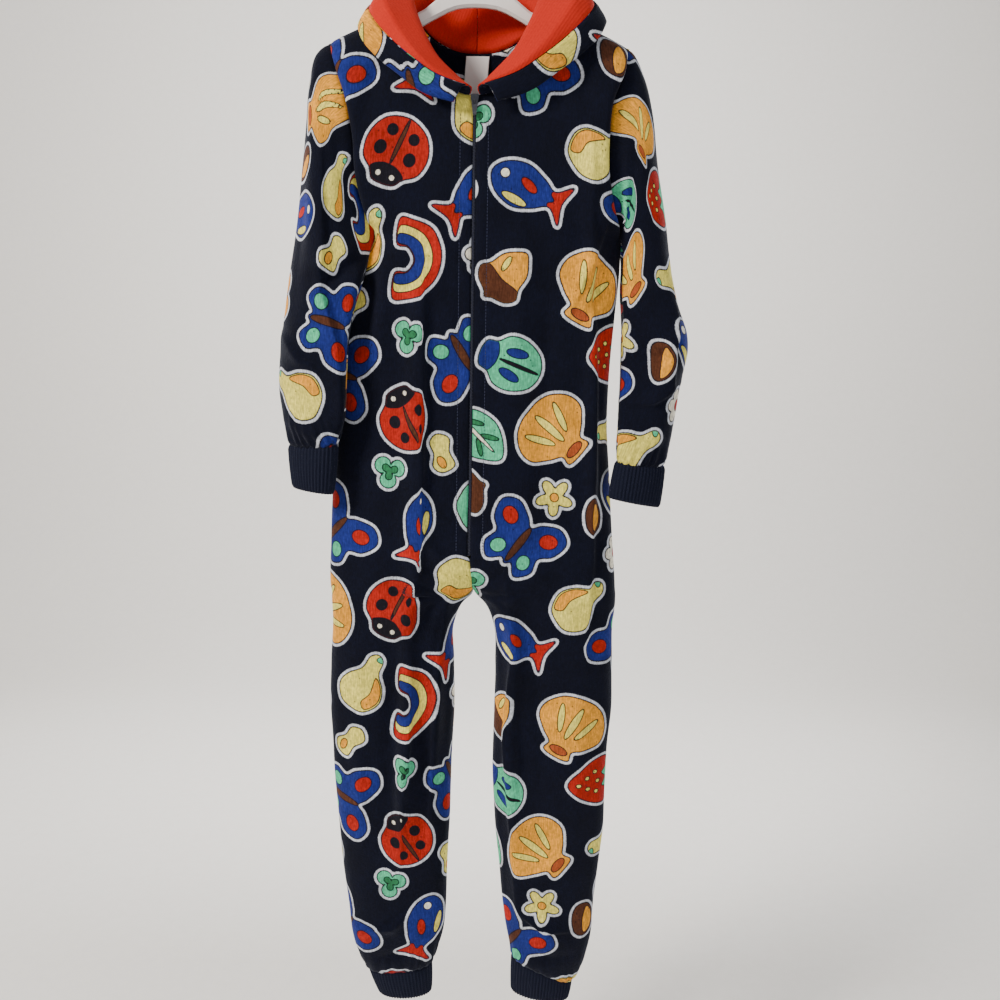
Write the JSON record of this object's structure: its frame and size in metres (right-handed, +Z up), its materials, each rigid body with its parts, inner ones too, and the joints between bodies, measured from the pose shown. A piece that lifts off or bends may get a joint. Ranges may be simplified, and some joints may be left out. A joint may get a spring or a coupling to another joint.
{
  "type": "hooded onesie pajama on a hanger",
  "caption": "Child's hooded one-piece fleece pajama with a front zip, long sleeves and rib cuffs, hanging closed on a plastic hanger.",
  "frame": {"origin": "inside top of the hanger's hook, where a rail or wall hook holds it", "axes": "+Z up, -Y the garment's front, +X the wearer's left"},
  "size_m": [0.4, 0.1191, 1.1133],
  "materials": {
    "plush_fleece": "plush polyester fleece, dark navy with an all-over print",
    "red_jersey": "red knit jersey",
    "rib_knit": "dark navy rib knit",
    "zip_coil": "woven tape with a nylon coil",
    "dark_metal": "dark plated zinc",
    "satin_label": "white woven satin",
    "hanger_plastic": "white moulded plastic"
  },
  "bodies": {
    "garment": {"front_right": "plush_fleece", "front_left": "plush_fleece", "back_right": "plush_fleece", "back_left": "plush_fleece", "sleeve_right": "plush_fleece", "sleeve_left": "plush_fleece", "wrist_cuff_right": "rib_knit", "wrist_cuff_left": "rib_knit", "ankle_cuff_right": "rib_knit", "ankle_cuff_left": "rib_knit", "hood_outer_right": "plush_fleece", "hood_outer_left": "plush_fleece", "hood_lining_right": "red_jersey", "hood_lining_left": "red_jersey", "hood_facing_right": "plush_fleece", "hood_facing_left": "plush_fleece", "zip_tape": "zip_coil", "zip_coil": "zip_coil", "zip_slider": "dark_metal", "neck_label": "satin_label", "hanger": "hanger_plastic"},
    "pull": {"zip_pull": "dark_metal"}
  },
  "joints": [
    {"name": "pull_swing", "type": "hinge", "parent": "garment", "child": "pull", "pos_m": [0, -0.0391, -0.1715], "axis": [-1, 0, 0], "range_deg": [0, 150]}
  ]
}
